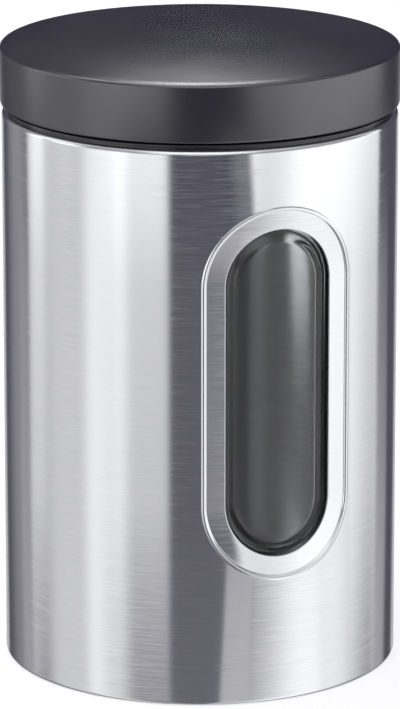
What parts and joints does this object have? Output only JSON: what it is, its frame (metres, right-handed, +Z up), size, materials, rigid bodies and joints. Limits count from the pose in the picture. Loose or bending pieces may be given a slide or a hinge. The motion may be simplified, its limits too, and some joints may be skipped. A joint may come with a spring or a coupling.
{
  "type": "storage canister",
  "caption": "Cylindrical steel storage canister with a recessed round-ended side window and a black lift-off lid with a seal.",
  "frame": {"origin": "centre of the face that the canister stands on", "axes": "+Z up along the tube's axis, the window faces -Y, +X to the right seen from the window side"},
  "size_m": [0.1108, 0.1108, 0.1755],
  "materials": {
    "shell_steel": "brushed round the tube",
    "base_steel": "pressed, lightly brushed",
    "collar_plastic": "satin",
    "gasket_rubber": "matte",
    "clear_plastic": "polished",
    "lid_plastic": "satin",
    "plug_plastic": "satin",
    "seal_rubber": "soft matte"
  },
  "bodies": {
    "canister": {"body_shell": "shell_steel", "base_plate": "base_steel", "mouth_collar": "collar_plastic", "window_gasket": "gasket_rubber", "window_pane": "clear_plastic"},
    "lid": {"lid_cap": "lid_plastic", "lid_plug": "plug_plastic", "lid_seal": "seal_rubber"}
  },
  "joints": [
    {"name": "lid_lift", "type": "slide", "parent": "canister", "child": "lid", "axis": [0, 0, 1], "range_m": [0, 0.12]}
  ]
}
